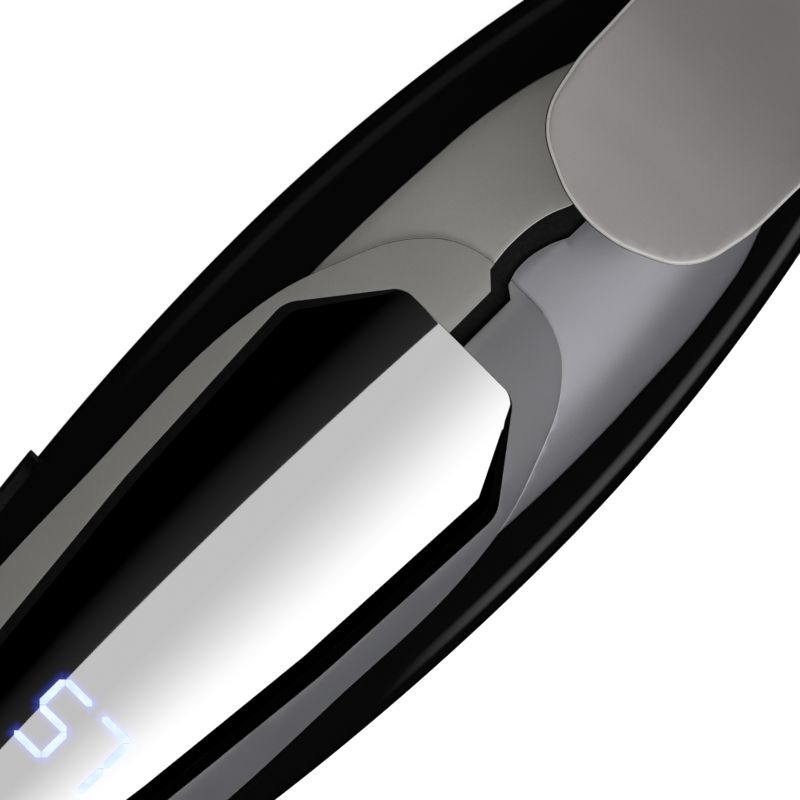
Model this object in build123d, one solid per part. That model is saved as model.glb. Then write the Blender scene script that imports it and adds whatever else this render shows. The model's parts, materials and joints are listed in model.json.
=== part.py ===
from build123d import *
import math
import os

# A digital curling iron, in millimetres. While it is modelled, X runs along the axis
# towards the barrel with X = 0 at the handle's widest station, +Z is the display side
# and +Y the side with the keys. The last step moves it onto its origin.

# Handle
tail_x = -76.0          # rear end of the two shells
neck_x = 60.0           # front end of the two shells
belly_half_width = 20.2
belly_half_height = 16.0
neck_radius = 11.9
tail_radius = 9.2
front_taper = 0.0029    # the outline drops by this times x squared towards the barrel
rear_taper = 0.0019     # and by this towards the tail
squareness = 0.5        # added to the exponent of the cross-section at the belly
wall = 2.4
split_z = -2.5          # the plane where the two shells meet
rest_depth = 15.1       # depth of the flat on the belly, below the axis
tail_wall = 3.5

# Front inlay and display
inlay_floor = 1.5       # depth of the pocket that holds the inlay
inlay_sink = 0.35       # how far the inlay lies below the body
bezel_rise = 0.45       # how far the bezel stands above the body
glass_sink = 0.1
trim_gap = 0.12
slot_width = 1.5
corner_radius = 1.0     # of the window's corners
# outlines seen from above, from the barrel end to the tail, as (x, half width)
window_side = [(7.2, 6.8), (-1.2, 13.3), (-22, 12.3), (-40, 10.5), (-56, 8.4), (-61, 5.4)]
bezel_side = [(14.3, 0), (13.8, 5.2), (11.2, 8.9), (4.4, 12.5), (-2.4, 14.6), (-24, 14.8), (-42, 13.9),
              (-58, 11.4), (-64.2, 6.8), (-65.5, 0)]
# the inlay is a little wider on the side without keys; from under the bezel to its end
inlay_key_side = [(-6, 13.2), (5, 13.4), (16, 13.0), (24.5, 12.2), (32, 10.2), (41, 5.6), (45, 0)]
inlay_far_side = [(-6, 14.4), (5, 14.9), (16, 14.7), (24.5, 14.1), (32, 12.5), (41, 7.2), (45, 0)]
# middle line of the slot that splits the inlay and the bezel's crown
slot_line = [(6, 0.5), (11.6, 0.5), (13.2, 1.0), (14.9, 1.9), (18, 2.05), (23, 0.5), (47, 0.3)]
module_x = -41.2
digit_height = 7.1
digit_width = 4.1
stroke = 0.65
stroke_gap = 0.12
five_y = 1.85
seven_y = -2.9
module_size = (11.0, 17.0, 6.0)

# Keys on the side
key_height = 4.4
key_z = 2.2
key_rise = 0.9
key_travel = 0.6
key_gap = 0.25
key_flange = 0.7
key_spans = {"power_key": (-38.5, -26.5), "heat_up_key": (-51.0, -43.0), "heat_down_key": (-63.0, -55.0)}

# Board
board_z = (-1.0, 0.6)
board_x = (-62.5, 22.0)
board_half_width = 8.9
board_notch = (21.0, 5.8)   # cut from each rear corner, for the keys
board_screw_x = (18.0, -31.0)
board_screw_y = -6.0
boss_places = (-56.0, -8.0, 38.0)
boss_radius = 2.7
screw_radius = 1.3
cap_radius = 3.0

# Barrel
collar_front_x = 67.0
collar_radius = 12.4
spigot_radius = 9.2
spigot_back_x = 50.0
barrel_lap = 8.0        # how far the collar and the tip reach into the barrel
lead_bore = 7.2
barrel_radius = 11.0
barrel_wall = 0.9
barrel_end_x = 180.0
tip_end_x = 206.0
heater_x = (79.0, 172.0)

# Clamp
bracket_x = (61.6, 66.0)
bracket_gauge = 0.87
bracket_half_angle = 62.0
bracket_screw_x = 63.8
bracket_screw_tilt = 45.0
bracket_screw_hole = 1.0
rivet_x = (77.5, 84.0)
rivet_radius = 1.5
spring_turns = 5
spring_wire = 0.28
spring_pitch = 0.7
spring_bay = ((62.5, 69.5), (0.3, 60.0), (13.0, 18.7))   # slot for the coil in the lever's hub
pin_x = 66.0
pin_z = 16.5
pin_radius = 1.25
running_gap = 0.05
blade_gap = 0.35
blade_thickness = 0.9
blade_half_angle = 52.0
blade_x = (73.5, 176.0)
arm_half_width = 4.7
ear_thickness = 1.2
pad_half_width = 11.0
pad_tip_x = 22.4
pad_end_x = 50.6
pad_thickness = 1.7
arm_thickness = 2.3
lever_top = [(21.4, 31.5), (38, 28.4), (50.6, 22.3), (60, 18.3)]   # side view of the lever's top, (x, z)

# Stand
stand_pivot = (63.5, -5.0)
stand_hole_y = (9.5, 13.0)
stand_foot_y = 9.8      # where the wire ends inside the collar
stand_bend = 1.6
stand_leg = 32.0
stand_wire = 1.1
stand_half_width = 14.0
stand_bar_z = -13.2

# Cord gland
ring_pitch = 3.0        # of the two slip rings
groove_pitch = 3.4      # of the four flex grooves
gland_radius = 6.0
gland_end_x = -100.0
cord_bore = 3.3

far = 60.0              # larger than any cross-section


def half_width(x, inset):
    taper = front_taper if x > 0 else rear_taper
    return max(belly_half_width - taper * x * x, neck_radius if x > 0 else 1.0) - inset


def half_height(x, inset):
    end_radius, end_x = (neck_radius, neck_x) if x > 0 else (tail_radius, tail_x)
    return belly_half_height - (belly_half_height - end_radius) * (x / end_x) ** 2 - inset


def handle_section(x, inset):
    end_x = neck_x if x > 0 else tail_x
    power = 2 / (2 + squareness * max(0.0, 1 - (x / end_x) ** 2))
    points = []
    for step in range(24):
        angle = 2 * math.pi * step / 24
        y = math.copysign(abs(math.cos(angle)) ** power, math.cos(angle))
        z = math.copysign(abs(math.sin(angle)) ** power, math.sin(angle))
        points.append((y * half_width(x, inset), z * half_height(x, inset)))
    plane = Plane(origin=(x, 0, 0), x_dir=(0, 1, 0), z_dir=(1, 0, 0))
    return plane * make_face(Spline(*points, periodic=True))


def skin(inset, over=0.0):
    """The handle's smooth outer form, moved inwards by inset."""
    stations = (tail_x - over, -64, -48, -30, -12, 6, 22, 36, 48, neck_x + over)
    return loft([handle_section(x, inset) for x in stations])


def prism(face, low, high):
    return extrude(Pos(0, 0, low) * face, high - low)


def block(x_span, y_span, z_span):
    size = [b - a for a, b in (x_span, y_span, z_span)]
    middle = [(a + b) / 2 for a, b in (x_span, y_span, z_span)]
    return Pos(*middle) * Box(*size)


def rod_x(radius, x_span, y=0.0, z=0.0):
    length = x_span[1] - x_span[0]
    return Pos((x_span[0] + x_span[1]) / 2, y, z) * Rot(0, 90, 0) * Cylinder(radius, length)


def rod_y(radius, y_span, x, z):
    length = y_span[1] - y_span[0]
    return Pos(x, (y_span[0] + y_span[1]) / 2, z) * Rot(90, 0, 0) * Cylinder(radius, length)


def rod_z(radius, z_span, x, y=0.0):
    length = z_span[1] - z_span[0]
    return Pos(x, y, (z_span[0] + z_span[1]) / 2) * Cylinder(radius, length)


def turned(points):
    """A solid of revolution about the X axis from (x, radius) points."""
    profile = make_face(Polyline([(x, 0, r) for x, r in points], close=True))
    return revolve(profile, Axis.X)


# Outlines seen from above


def mirrored_face(half):
    """A face from a chain of edges on the +Y side whose ends are on the X axis."""
    edges = half.edges()
    other = half.mirror(Plane.XZ).edges()
    return make_face(edges + other)


def window_outline(grow=0.0):
    full = window_side + [(x, -y) for x, y in reversed(window_side)]
    face = make_face(Polyline(full, close=True))
    face = fillet(face.vertices(), corner_radius)
    return offset(face, grow) if grow else face


def grown(points, grow):
    """The points of an outline, moved outwards from its middle by about grow."""
    low, high = min(x for x, y in points), max(x for x, y in points)
    widest = max(y for x, y in points)
    middle, reach = (low + high) / 2, (high - low) / 2
    return [(x + grow * (x - middle) / reach, y + grow * y / widest) for x, y in points]


def bezel_outline(grow=0.0):
    points = grown(bezel_side, grow)
    shoulder, flank = (-1, 0.1), (-1, -0.14)
    crown = Spline(*points[:5], tangents=[(0, 1), shoulder])
    side = Spline(*points[4:8], tangents=[shoulder, flank])
    tail = Spline(*points[7:], tangents=[flank, (0, -1)])
    return mirrored_face(crown + side + tail)


def inlay_outline(grow=0.0):
    key_side = Spline(*grown(inlay_key_side, grow), tangents=[(1, 0.02), (0, -1)])
    far_side = Spline(*grown(inlay_far_side, grow), tangents=[(1, 0.1), (0, -1)]).mirror(Plane.XZ)
    back = Line(key_side @ 0, far_side @ 0)
    return make_face(key_side.edges() + far_side.edges() + back.edges())


def slot_outline():
    left = Spline(*[(x, y + slot_width / 2) for x, y in slot_line])
    right = Spline(*[(x, y - slot_width / 2) for x, y in slot_line])
    ends = Line(left @ 0, right @ 0) + Line(left @ 1, right @ 1)
    return make_face((left + right + ends).edges())


def pad_outline(shrink=0.0):
    half = pad_half_width - shrink
    tip = pad_tip_x + shrink
    flat = 2.4 - shrink * 0.4
    side = Spline((tip, flat), (tip + 3.5, half - 2.2), (tip + 7.8, half - 0.6), (tip + 14, half - 0.15),
                  (pad_end_x, half), tangents=[(0, 1), (1, 0.02)])
    front = Line((tip, 0), (tip, flat))
    end = Line((pad_end_x, half), (pad_end_x, 0))
    return mirrored_face(front + side + end)


# Shells


def front_shell(outer, inner):
    body = shell_wall(outer, inner) & block((-far * 2, far * 2), (-far, far), (split_z, far))
    pocket = prism(bezel_outline(trim_gap), 0, far) + prism(inlay_outline(trim_gap), 0, far)
    body -= pocket & (skin(-3) - skin(inlay_floor))
    length, width, _ = module_size
    body -= block((module_x - length / 2 - 0.3, module_x + length / 2 + 0.3),
                  (-width / 2 - 0.3, width / 2 + 0.3), (3, far))
    for start, end in key_spans.values():
        body -= key_bar(start, end, key_gap, 4, far)
    for x in boss_places:
        boss = rod_z(boss_radius, (split_z, far), x) & inner
        body += boss - rod_z(screw_radius, (split_z, split_z + 8), x)
    return body


def shell_wall(outer, inner):
    cavity = inner & block((tail_x + tail_wall, far * 2), (-far, far), (-far, far))
    bearing = rod_x(gland_radius + running_gap, (tail_x - 1, tail_x + tail_wall + 1))
    return outer - cavity - bearing


def rear_shell(outer, inner):
    body = shell_wall(outer, inner) & block((-far * 2, far * 2), (-far, far), (-rest_depth, split_z))
    for x in boss_places:
        boss = rod_z(boss_radius + 1.2, (-far, board_z[0] - 3), x) & inner
        body += boss & block((-far * 2, far * 2), (-far, far), (-far, board_z[0] - 3))
        body += rod_z(boss_radius, (board_z[0] - 4, split_z), x)
        body -= rod_z(screw_radius + 0.2, (-far, split_z + 1), x)
        body -= rod_z(cap_radius + 0.1, (-far, -half_height(x, 0) + 5.0), x)
    return body


def screw(x):
    head_low = -half_height(x, 0) + 2.6
    head = rod_z(cap_radius - 0.3, (head_low, head_low + 2.3), x)
    slot = block((x - 2, x + 2), (-0.35, 0.35), (head_low - 1, head_low + 0.9))
    return head - slot + rod_z(screw_radius, (head_low + 2.3, split_z + 7.5), x)


def screw_cap(x, outer):
    cap = rod_z(cap_radius, (-far, -half_height(x, 0) + 2.4), x) & outer
    return cap & block((-far * 2, far * 2), (-far, far), (-rest_depth + 0.2, far))


# Inlay, bezel and display


def inlay_parts():
    sheet = skin(inlay_sink) - skin(inlay_floor)
    face = inlay_outline() - bezel_outline(trim_gap) - slot_outline()
    pieces = (sheet & prism(face, 0, far)).solids()
    pieces = sorted(pieces, key=lambda s: s.volume)[-2:]
    return sorted(pieces, key=lambda s: s.center().Y)


def bezel():
    face = bezel_outline() - window_outline(trim_gap) - slot_outline()
    sheet = skin(-bezel_rise) - skin(inlay_floor)
    return largest(sheet & prism(face, 0, far))


def largest(shape):
    return sorted(shape.solids(), key=lambda s: s.volume)[-1]


def digit_bars(y, lit):
    """The lit bars of one seven-segment digit whose top points towards the barrel."""
    reach = digit_height / 2 - stroke / 2
    side = digit_width / 2 - stroke / 2
    across = {"a": reach, "g": 0.0, "d": -reach}
    half = reach / 2
    along = {"b": (half, -side), "c": (-half, -side), "f": (half, side)}
    bars = []
    for name in lit:
        if name in across:
            bar = Pos(module_x + across[name], y) * Rectangle(stroke, 2 * side - stroke_gap)
        else:
            x_mid, y_mid = along[name]
            bar = Pos(module_x + x_mid, y + y_mid) * Rectangle(reach - stroke - stroke_gap, stroke)
        bars.append(bar)
    return bars


def lit_bars():
    bars = digit_bars(five_y, "afgcd") + digit_bars(seven_y, "abc")
    sheet = skin(glass_sink) - skin(glass_sink + 0.5)
    return [largest(sheet & prism(bar, 0, far)) for bar in bars]


def window(bars):
    glass = (skin(glass_sink) - skin(inlay_floor)) & prism(window_outline(), 0, far)
    for bar in bars:
        glass -= bar
    return largest(glass)


def display_module():
    length, width, height = module_size
    top = half_height(module_x, wall) * 0.83
    x_span = (module_x - length / 2, module_x + length / 2)
    body = block(x_span, (-width / 2, width / 2), (top - height, top))
    for x in (module_x - 4, module_x + 4):
        for step in range(5):
            y = 2.54 * (step - 2)
            body += rod_z(0.3, (board_z[1], top - height + 0.5), x, y)
    return body


# Keys and board


def key_bar(start, end, grow, low_y, high_y):
    middle = (start + end) / 2
    face = SlotOverall(end - start + 2 * grow, key_height + 2 * grow)
    plane = Plane(origin=(middle, low_y, key_z), x_dir=(-1, 0, 0), z_dir=(0, 1, 0))
    return extrude(plane * face, high_y - low_y)


def key_seat(start):
    """Y of the outer face of a key's flange, just inside the shell."""
    x = start - key_flange
    rise = (key_z + key_height / 2 + key_flange) / half_height(x, wall)
    return half_width(x, wall) * (1 - rise ** 2.2) ** (1 / 2.2) - 0.35


def key(start, end):
    seat = key_seat(start)
    cap = key_bar(start, end, 0, seat - 1.2, far) & skin(-key_rise)
    return cap + key_bar(start, end, key_flange, seat - 1.2, seat)


def tact_switch(start, end):
    middle = (start + end) / 2
    plunger_y = key_seat(start) - 1.2 - key_travel - 0.3
    low_y = plunger_y - 3.0
    body = block((middle - 3, middle + 3), (low_y, plunger_y - 0.9), (board_z[1], board_z[1] + 2.9))
    return body + rod_y(0.9, (plunger_y - 1.0, plunger_y), middle, key_z)


def control_board():
    long = board_x[1] - board_x[0]
    face = Pos((board_x[0] + board_x[1]) / 2, 0) * Rectangle(long, 2 * board_half_width)
    for side in (-1, 1):
        face -= Pos(board_x[0], side * board_half_width) * Rectangle(*board_notch)
    for x in boss_places:
        face -= Pos(x, 0) * Circle(boss_radius + 0.4)
    for x in board_screw_x:
        face -= Pos(x, board_screw_y) * Circle(1.1)
    return prism(face, *board_z)


def board_screw(x):
    head = rod_z(2.0, (board_z[1], board_z[1] + 1.4), x, board_screw_y)
    return head + rod_z(1.0, (board_z[0] - 4, board_z[1]), x, board_screw_y)


def board_post(x, inner):
    under = block((-far, far), (-far, far), (-far, board_z[0]))
    post = rod_z(2.2, (-far, board_z[0]), x, board_screw_y) & inner & under
    return post - rod_z(1.05, (board_z[0] - 5, far), x, board_screw_y)


# Barrel group


def collar():
    back = neck_x + 0.1
    plug_radius = barrel_radius - barrel_wall - 0.05
    plug_x = collar_front_x + barrel_lap
    body = turned([(spigot_back_x, 0), (spigot_back_x, spigot_radius), (back, spigot_radius),
                   (back, neck_radius), (neck_x + 1.2, collar_radius), (collar_front_x - 0.8, collar_radius),
                   (collar_front_x, collar_radius - 0.6), (collar_front_x, plug_radius),
                   (plug_x, plug_radius), (plug_x, 0)])
    body -= rod_x(lead_bore, (spigot_back_x - 1, plug_x + 1))
    x, z = stand_pivot
    for side in (-1, 1):
        span = sorted(side * y for y in stand_hole_y)
        body -= rod_y(stand_wire + running_gap, span, x, z)
        hole = rod_z(bracket_screw_hole, (10, far), bracket_screw_x)
        body -= Rot(side * bracket_screw_tilt, 0, 0) * hole
    return body


def heat_barrier():
    disc = rod_x(lead_bore - 0.05, (72.0, 73.6))
    for y in (-4.5, 4.5):
        disc -= rod_x(1.0, (71, 75), y)
    return disc


def spreader(side):
    outer = rod_x(barrel_radius - barrel_wall - 0.15, heater_x)
    inner = rod_x(barrel_radius - barrel_wall - 1.8, (heater_x[0] - 1, heater_x[1] + 1))
    half = block((0, far * 4), (-far, far), (1.25, far) if side > 0 else (-far, -1.25))
    web = block(heater_x, (-8, 8), (1.25, 2.6) if side > 0 else (-2.6, -1.25))
    return ((outer - inner) & half) + (web & outer)


def cool_tip():
    radius = barrel_radius + 0.2
    waist = radius - 1.6
    plug_radius = barrel_radius - barrel_wall - 0.05
    plug_x = barrel_end_x - barrel_lap
    return turned([(plug_x, 0), (plug_x, plug_radius), (barrel_end_x, plug_radius), (barrel_end_x, radius),
                   (barrel_end_x + 4, radius), (barrel_end_x + 8, waist), (tip_end_x - 8, waist),
                   (tip_end_x - 4, radius - 0.6), (tip_end_x - 1.5, waist), (tip_end_x, radius - 4),
                   (tip_end_x, 0)])


# Clamp


def ring_sector(inner_radius, outer_radius, x_span, half_angle):
    """Part of a tube round the X axis, centred on the top."""
    tube = rod_x(outer_radius, x_span) - rod_x(inner_radius, (x_span[0] - 1, x_span[1] + 1))
    reach = outer_radius * 3
    angle = math.radians(half_angle)
    y, z = reach * math.sin(angle), reach * math.cos(angle)
    wedge = make_face(Polyline((0, 0), (-y, z), (0, reach * 1.5), (y, z), close=True))
    plane = Plane(origin=(x_span[0] - 1, 0, 0), x_dir=(0, 1, 0), z_dir=(1, 0, 0))
    return tube & extrude(plane * wedge, x_span[1] - x_span[0] + 2)


def clamp_blade():
    inner = barrel_radius + blade_gap
    blade = ring_sector(inner, inner + blade_thickness, blade_x, blade_half_angle)
    width = 2 * inner * math.sin(math.radians(blade_half_angle)) + 1.6
    rounding = SlotOverall(2 * (blade_x[1] - neck_x), width)
    blade &= prism(Pos(neck_x, 0) * rounding, 0, far)
    for x in rivet_x:
        blade -= rod_z(rivet_radius, (0, far), x)
    return blade


def rivet(x):
    inner = barrel_radius + blade_gap
    shank = rod_z(rivet_radius, (inner + 0.02, 15.6), x)
    head = Pos(x, 0, 15.2) * Sphere(2.4) & block((x - 5, x + 5), (-5, 5), (15.6, 18))
    return shank + head


def lever_strip(top_drop, thickness):
    """The lever's curved side view, from the thumb end down to the hinge, as a wide slab."""
    top = Spline(*lever_top, tangents=[(1, -0.1), (1, -0.4)])
    points = [top @ (k / 12) for k in range(13)]
    upper = [(p.X, p.Y - top_drop) for p in points]
    lower = [(p.X, p.Y - top_drop - thickness) for p in reversed(points)]
    roof = Spline(*upper)
    floor = Spline(*lower)
    edges = roof + floor + Line(roof @ 1, floor @ 0) + Line(floor @ 1, roof @ 0)
    side = make_face(edges.edges())
    plane = Plane(origin=(0, far / 2, 0), x_dir=(1, 0, 0), z_dir=(0, -1, 0))
    return extrude(plane * side, far)


def thumb_pad():
    return largest(lever_strip(0, pad_thickness) & prism(pad_outline(), 0, far))


def lever_arm():
    thumb = lever_strip(pad_thickness, arm_thickness) & prism(pad_outline(1.3), 0, far)
    wide = pad_half_width - 1.4
    neck_half = [(pad_end_x - 6, wide), (pad_end_x, wide), (neck_x + 0.5, arm_half_width)]
    neck_plan = make_face(Polyline(neck_half + [(x, -y) for x, y in reversed(neck_half)], close=True))
    neck = lever_strip(0, pad_thickness + arm_thickness) & prism(neck_plan, 0, far)
    neck &= block((pad_end_x + 0.05, far * 2), (-far, far), (-far, far))
    strap = lever_strip(pad_thickness, arm_thickness) & prism(neck_plan, 0, far)
    plane = Plane(origin=(0, arm_half_width, 0), x_dir=(1, 0, 0), z_dir=(0, -1, 0))
    side = make_face(Polyline((59, 14.9), (59, 19.1), (64, 19.9), (68.5, 19.4), (73, 15.6), (89, 15.6),
                              (89, 11.5), (73.2, 11.5), (72.2, 13.9), (66, 13.9), close=True))
    hub = extrude(plane * side, 2 * arm_half_width)
    arm = thumb + strap + neck + hub
    arm -= rod_x(barrel_radius + blade_gap + blade_thickness + 0.02, (71.8, 95))
    arm -= rod_y(pin_radius + running_gap, (-far, far), pin_x, pin_z)
    arm -= block(*spring_bay)
    for x in rivet_x:
        arm -= rod_z(rivet_radius, (0, far), x)
    return largest(arm)


def hinge_bracket():
    seat = collar_radius + 0.03
    ear_radius = 2.6
    bracket = ring_sector(seat, seat + bracket_gauge, bracket_x, bracket_half_angle)
    for side in (-1, 1):
        inside = arm_half_width + 0.3
        span = sorted((side * inside, side * (inside + ear_thickness)))
        ear = rod_y(ear_radius, span, pin_x, pin_z)
        ear += block((bracket_x[0] + 0.2, pin_x), span, (11.6, pin_z))
        ear += block((bracket_x[0] + 0.2, pin_x + ear_radius), span, (13.6, pin_z))
        bracket += ear - rod_x(seat, (neck_x, collar_front_x + 3))
    bracket -= rod_y(pin_radius, (-far, far), pin_x, pin_z)
    for side in (-1, 1):
        hole = rod_z(bracket_screw_hole, (0, far), bracket_screw_x)
        bracket -= Rot(side * bracket_screw_tilt, 0, 0) * hole
    return largest(bracket)


def bracket_screw(side):
    seat = collar_radius + 0.03 + bracket_gauge
    shank = rod_z(bracket_screw_hole - 0.05, (10.6, seat), bracket_screw_x)
    head = rod_z(1.7, (seat, seat + 0.8), bracket_screw_x)
    return Rot(side * bracket_screw_tilt, 0, 0) * (shank + head)


def hinge_pin():
    reach = arm_half_width + 0.3 + ear_thickness
    pin = rod_y(pin_radius, (-reach - 0.3, reach + 0.3), pin_x, pin_z)
    return pin + rod_y(pin_radius + 0.7, (reach + 0.01, reach + 0.8), pin_x, pin_z)


def clamp_spring():
    path = Helix(pitch=spring_pitch, height=spring_turns * spring_pitch, radius=pin_radius + 0.4)
    start = Plane(origin=path @ 0, z_dir=path % 0)
    coil = sweep(start * Circle(spring_wire), path=path)
    return Pos(pin_x, 0.65, pin_z) * Rot(-90, 0, 0) * coil


# Stand and gland


def stand():
    x, z = stand_pivot
    angle = math.asin((z - stand_bar_z) / stand_leg)
    bar_x = x + stand_leg * math.cos(angle)
    half = stand_half_width
    line = FilletPolyline((x, stand_foot_y, z), (x, half, z), (bar_x, half, stand_bar_z),
                          (bar_x, -half, stand_bar_z), (x, -half, z), (x, -stand_foot_y, z),
                          radius=stand_bend)
    start = Plane(origin=line @ 0, z_dir=line % 0)
    return sweep(start * Circle(stand_wire), path=line)


def swivel_gland():
    inner_x = tail_x + tail_wall
    body = turned([(gland_end_x, cord_bore), (gland_end_x, 4.9), (gland_end_x + 1.2, 5.4),
                   (tail_x - 5.5, 6.4), (tail_x - 4.2, 8.1), (tail_x - 1.4, 8.6), (tail_x - 0.35, 8.2),
                   (tail_x - 0.35, gland_radius), (inner_x + 0.35, gland_radius), (inner_x + 0.35, 7.2),
                   (inner_x + 1.6, 7.2), (inner_x + 1.6, 4.6), (inner_x + 8.4, 4.6),
                   (inner_x + 8.4, cord_bore)])
    for step in range(4):
        x = tail_x - 9.0 - groove_pitch * step
        ring = rod_x(9, (x - 0.6, x + 0.6)) - rod_x(5.15 - 0.12 * step, (x - 1, x + 1))
        body -= ring
    return body


def slip_ring(step):
    start = tail_x + tail_wall + 2.4 + ring_pitch * step
    return rod_x(5.2, (start, start + 1.5)) - rod_x(4.6, (start - 1, start + 3))


def brush_spring(step):
    start = tail_x + tail_wall + 2.5 + ring_pitch * step
    leaf = block((start, start + 1.3), (-3.4, 6.0), (-5.9, -5.55))
    foot = block((start, start + 1.3), (5.6, 6.0), (-5.7, board_z[0]))
    return leaf + foot


# Everything, by name


def build_all():
    outer = skin(0)
    inner = skin(wall, over=1.0)
    inlay_right, inlay_left = inlay_parts()
    bars = lit_bars()
    rear = rear_shell(outer, inner)
    for x in board_screw_x:
        rear += board_post(x, inner)
    parts = {
        "front_shell": front_shell(outer, inner),
        "rear_shell": rear,
        "inlay_left": inlay_left,
        "inlay_right": inlay_right,
        "display_bezel": bezel(),
        "display_window": window(bars),
        "lit_segments": bars,
        "display_module": display_module(),
        "control_board": control_board(),
        "board_screws": [board_screw(x) for x in board_screw_x],
        "heating_relay": block((-27, -13), (-5, 5), (board_z[1], board_z[1] + 8.6)),
        "filter_capacitor": fillet(block((0, 13), (-3, 3), (board_z[1], board_z[1] + 8)).edges(), 0.8),
        "line_fuse": rod_x(1.6, (0, 13), 6.3, board_z[1] + 1.65),
        "tact_switches": [tact_switch(*span) for span in key_spans.values()],
        "case_screws": [screw(x) for x in boss_places],
        "screw_caps": [screw_cap(x, outer) for x in boss_places],
        "barrel_collar": collar(),
        "heat_barrier": heat_barrier(),
        "barrel_tube": rod_x(barrel_radius, (collar_front_x + 0.05, barrel_end_x - 0.05))
        - rod_x(barrel_radius - barrel_wall, (collar_front_x - 1, barrel_end_x + 1)),
        "heater_element": block((heater_x[0], heater_x[1] - 2), (-6, 6), (-1.2, 1.2)),
        "heat_spreader_upper": spreader(1),
        "heat_spreader_lower": spreader(-1),
        "temperature_sensor": rod_x(1.4, (heater_x[0], 108), 0, 4.05),
        "thermal_fuse": rod_x(2.0, (56, 68), 0, 4.4),
        "heater_leads": [rod_x(0.9, (board_x[1] + 0.1, heater_x[0] - 0.1), y) for y in (-4.5, 4.5)],
        "cool_tip": cool_tip(),
        "hinge_bracket": hinge_bracket(),
        "bracket_screws": [bracket_screw(side) for side in (-1, 1)],
        "hinge_pin": hinge_pin(),
        "clamp_spring": clamp_spring(),
        "clamp_blade": clamp_blade(),
        "lever_arm": lever_arm(),
        "thumb_pad": thumb_pad(),
        "blade_rivets": [rivet(x) for x in rivet_x],
        "wire_stand": stand(),
        "swivel_gland": swivel_gland(),
        "slip_rings": [slip_ring(step) for step in (0, 1)],
        "brush_springs": [brush_spring(step) for step in (0, 1)],
    }
    for name, span in key_spans.items():
        parts[name] = key(*span)
    return parts


def export_all():
    os.makedirs("parts", exist_ok=True)
    home = Pos(-(gland_end_x + tip_end_x) / 2, 0, rest_depth)
    for name, shape in build_all().items():
        solids = shape if isinstance(shape, list) else shape.solids()
        placed = [home * solid for solid in solids]
        node = placed[0] if len(placed) == 1 else Compound(children=placed)
        export_step(node, f"parts/{name}.step")
        print(name, len(placed), round(sum(solid.volume for solid in placed), 1))


export_all()
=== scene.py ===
import bpy
import bmesh
import json
import math
from mathutils import Matrix, Vector


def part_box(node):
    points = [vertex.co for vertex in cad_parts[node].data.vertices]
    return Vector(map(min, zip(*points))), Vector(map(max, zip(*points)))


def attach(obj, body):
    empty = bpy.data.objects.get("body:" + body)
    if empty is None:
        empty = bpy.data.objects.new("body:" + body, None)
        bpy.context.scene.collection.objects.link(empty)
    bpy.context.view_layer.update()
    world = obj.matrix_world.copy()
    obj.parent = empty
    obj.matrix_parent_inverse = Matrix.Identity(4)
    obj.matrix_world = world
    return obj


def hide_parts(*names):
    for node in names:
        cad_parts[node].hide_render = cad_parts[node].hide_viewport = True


# Digital curling iron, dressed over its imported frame. Everything is in metres.

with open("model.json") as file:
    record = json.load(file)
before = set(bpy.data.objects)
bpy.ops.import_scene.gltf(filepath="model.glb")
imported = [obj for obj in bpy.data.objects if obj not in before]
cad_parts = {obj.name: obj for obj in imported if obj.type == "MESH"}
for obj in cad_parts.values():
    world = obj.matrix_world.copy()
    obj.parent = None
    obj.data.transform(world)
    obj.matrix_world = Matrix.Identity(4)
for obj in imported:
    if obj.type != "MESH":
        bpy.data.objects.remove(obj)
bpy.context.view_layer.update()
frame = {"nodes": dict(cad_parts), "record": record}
mm = 0.001


def deselectAll():
    if bpy.context.object and bpy.context.object.mode != "OBJECT":
        bpy.ops.object.mode_set(mode="OBJECT")
    bpy.ops.object.select_all(action="DESELECT")


def pick(piece):
    deselectAll()
    piece.select_set(True)
    bpy.context.view_layer.objects.active = piece


# Handle form, worked out from the front shell's own box

shellLow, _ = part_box("front_shell")
tailReach, neckReach = 76.0, 60.0       # mm from the widest station to the tail and to the neck
form = {
    "wideX": shellLow.x + tailReach * mm,    # station of the greatest width
    "axisZ": shellLow.z + 2.5 * mm,    # the shells part 2.5 mm below the axis
    "splitZ": shellLow.z,
    "halfWidth": 20.2,
    "halfHeight": 16.0,
    "neckRadius": 11.9,
    "tailRadius": 9.2,
    "frontTaper": 0.0029,
    "rearTaper": 0.0019,
    "squareness": 0.5,
    "wall": 2.4,
}


def skinSize(x, inset):
    # half width, half height and exponent of the section, in mm, x counted from the widest station
    if x > 0:
        wide = form["halfWidth"] - form["frontTaper"] * x * x
        wide = blendTo(wide, x)
        endX, endRadius = neckReach, form["neckRadius"]
    else:
        wide = form["halfWidth"] - form["rearTaper"] * x * x
        endX, endRadius = tailReach, form["tailRadius"]
    share = (x / endX) ** 2
    high = form["halfHeight"] - (form["halfHeight"] - endRadius) * share
    power = 2 + form["squareness"] * max(0.0, 1 - share)
    return wide - inset, high - inset, power


def blendTo(wide, x):
    # the outline eases into the neck over its last 16 mm
    start, end = 44.0, neckReach
    if x < start:
        return wide
    t = min(1.0, (x - start) / (end - start))
    here = form["halfWidth"] - form["frontTaper"] * start * start
    slope = -2 * form["frontTaper"] * start * (end - start)
    last = form["neckRadius"]
    return (here * (2 * t ** 3 - 3 * t ** 2 + 1) + slope * (t ** 3 - 2 * t ** 2 + t)
            + last * (3 * t ** 2 - 2 * t ** 3))


def skinHeight(x, y, inset):
    # height of the handle's form above the axis, in mm
    wide, high, power = skinSize(x, inset)
    share = min(0.999, abs(y) / wide)
    return high * (1 - share ** power) ** (1 / power)


def toFrame(x, y, z):
    return Vector((form["wideX"] + x * mm, y * mm, form["axisZ"] + z * mm))


print("form ready")


# Mesh helpers


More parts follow.
